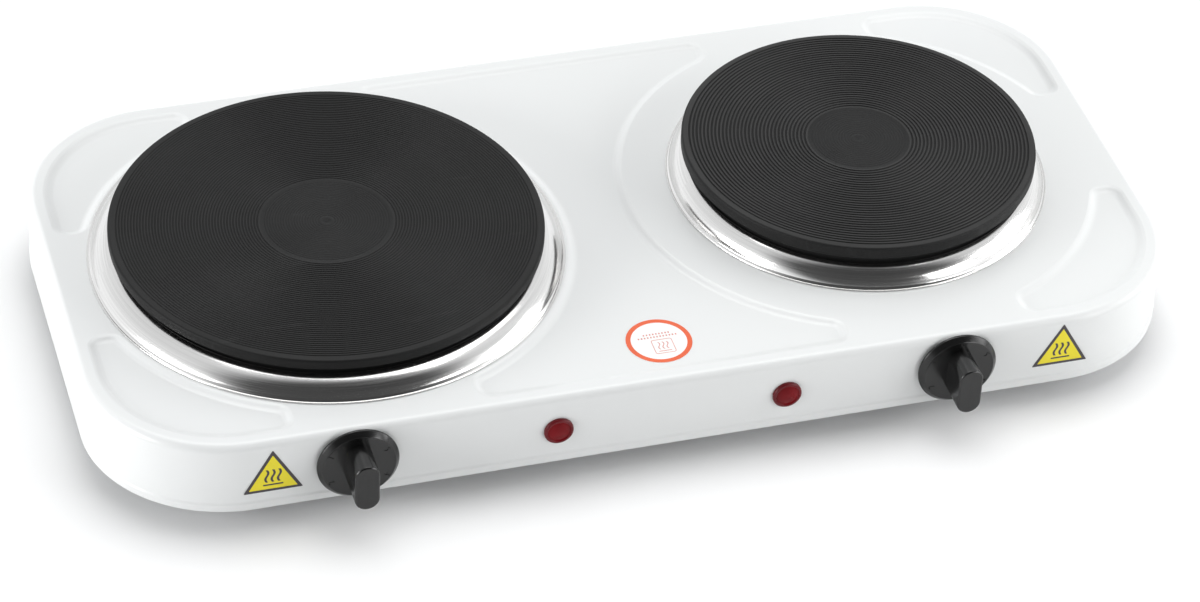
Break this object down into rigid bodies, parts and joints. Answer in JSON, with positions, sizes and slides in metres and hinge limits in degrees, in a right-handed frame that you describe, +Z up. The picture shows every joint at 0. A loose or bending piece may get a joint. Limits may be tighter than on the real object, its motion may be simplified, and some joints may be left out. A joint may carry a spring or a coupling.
{
  "type": "hot plate burner",
  "caption": "Table-top electric hob: pressed white casing with a large and a small cast-iron hot plate, a rotary thermostat knob and an indicator lamp for each, on rubber feet.",
  "frame": {"origin": "on the floor, under the middle of the whole outline from the knob grips to the cord gland; the casing's own middle is 7.8 mm behind it", "axes": "+X along the front to the right, seen from the side with the knobs; +Y to the back; +Z up. The knobs face -Y and the large plate is on the left"},
  "size_m": [0.473, 0.2546, 0.0626],
  "materials": {
    "casing_enamel": "semi-gloss cool white powder enamel",
    "galvanised_steel": "zinc-coated sheet, dull",
    "rim_steel": "polished stainless steel",
    "plate_iron": "black heat-proof coating with turned grooves",
    "plate_cement": "pressed magnesia cement, matt",
    "insulator_ceramic": "unglazed steatite",
    "heating_wire": "oxidised resistance wire",
    "screw_steel": "zinc plated",
    "contact_brass": "bright",
    "knob_plastic": "black thermoset, satin gloss",
    "lamp_red": "translucent red, glossy",
    "lamp_glass": "clear",
    "foot_rubber": "black rubber, matt",
    "sticker_film": "printed film",
    "lead_brown": "silicone insulation",
    "lead_blue": "silicone insulation",
    "lead_green": "silicone insulation"
  },
  "bodies": {
    "root": {"base_plate": "galvanised_steel", "base_screws": "screw_steel", "cord_gland": "foot_rubber", "earth_lead": "lead_green", "earth_screw": "screw_steel", "foot_front_left": "foot_rubber", "foot_front_right": "foot_rubber", "foot_rear_left": "foot_rubber", "foot_rear_right": "foot_rubber", "foot_screws": "screw_steel", "heater_lead_left": "lead_brown", "heater_lead_right": "lead_brown", "indicator_bulb_left": "lamp_glass", "indicator_bulb_right": "lamp_glass", "indicator_clip_left": "screw_steel", "indicator_clip_right": "screw_steel", "indicator_lens_left": "lamp_red", "indicator_lens_right": "lamp_red", "large_cement_fill": "plate_cement", "large_heating_coil": "heating_wire", "large_hot_plate": "plate_iron", "large_plate_bracket": "galvanised_steel", "large_plate_cover": "galvanised_steel", "large_plate_rim": "rim_steel", "large_plate_stud": "screw_steel", "large_terminal_beads": "insulator_ceramic", "live_lead_left": "lead_brown", "live_lead_right": "lead_brown", "neutral_lead_left": "lead_blue", "neutral_lead_right": "lead_blue", "small_cement_fill": "plate_cement", "small_heating_coil": "heating_wire", "small_hot_plate": "plate_iron", "small_plate_bracket": "galvanised_steel", "small_plate_cover": "galvanised_steel", "small_plate_rim": "rim_steel", "small_plate_stud": "screw_steel", "small_terminal_beads": "insulator_ceramic", "stickers": "sticker_film", "stud_nuts": "screw_steel", "terminal_block": "insulator_ceramic", "terminal_screws": "screw_steel", "thermostat_bimetal_left": "contact_brass", "thermostat_bimetal_right": "contact_brass", "thermostat_body_left": "insulator_ceramic", "thermostat_body_right": "insulator_ceramic", "thermostat_bracket_left": "galvanised_steel", "thermostat_bracket_right": "galvanised_steel", "thermostat_bush_left": "contact_brass", "thermostat_bush_right": "contact_brass", "thermostat_contacts_left": "contact_brass", "thermostat_contacts_right": "contact_brass", "thermostat_screws": "screw_steel", "top_casing": "casing_enamel"},
    "knob_unit_left": {"knob_left": "knob_plastic", "thermostat_spindle_left": "screw_steel"},
    "push_pin_left": {"thermostat_pin_left": "insulator_ceramic"},
    "knob_unit_right": {"knob_right": "knob_plastic", "thermostat_spindle_right": "screw_steel"},
    "push_pin_right": {"thermostat_pin_right": "insulator_ceramic"}
  },
  "joints": [
    {"name": "knob_left_turn", "type": "hinge", "parent": "root", "child": "knob_unit_left", "pos_m": [-0.1338, -0.1089, 0.0277], "axis": [0, 1, 0], "range_deg": [0, 300]},
    {"name": "push_pin_left_slide", "type": "slide", "parent": "root", "child": "push_pin_left", "axis": [0, 1, 0], "range_m": [0, 0.0007]},
    {"name": "knob_right_turn", "type": "hinge", "parent": "root", "child": "knob_unit_right", "pos_m": [0.1254, -0.1089, 0.0277], "axis": [0, 1, 0], "range_deg": [0, 300]},
    {"name": "push_pin_right_slide", "type": "slide", "parent": "root", "child": "push_pin_right", "axis": [0, 1, 0], "range_m": [0, 0.0007]}
  ],
  "couplings": [
    {"joint": "push_pin_left_slide", "follows": "knob_left_turn", "m_per_rad": 0.0001336},
    {"joint": "push_pin_right_slide", "follows": "knob_right_turn", "m_per_rad": 0.0001336}
  ]
}
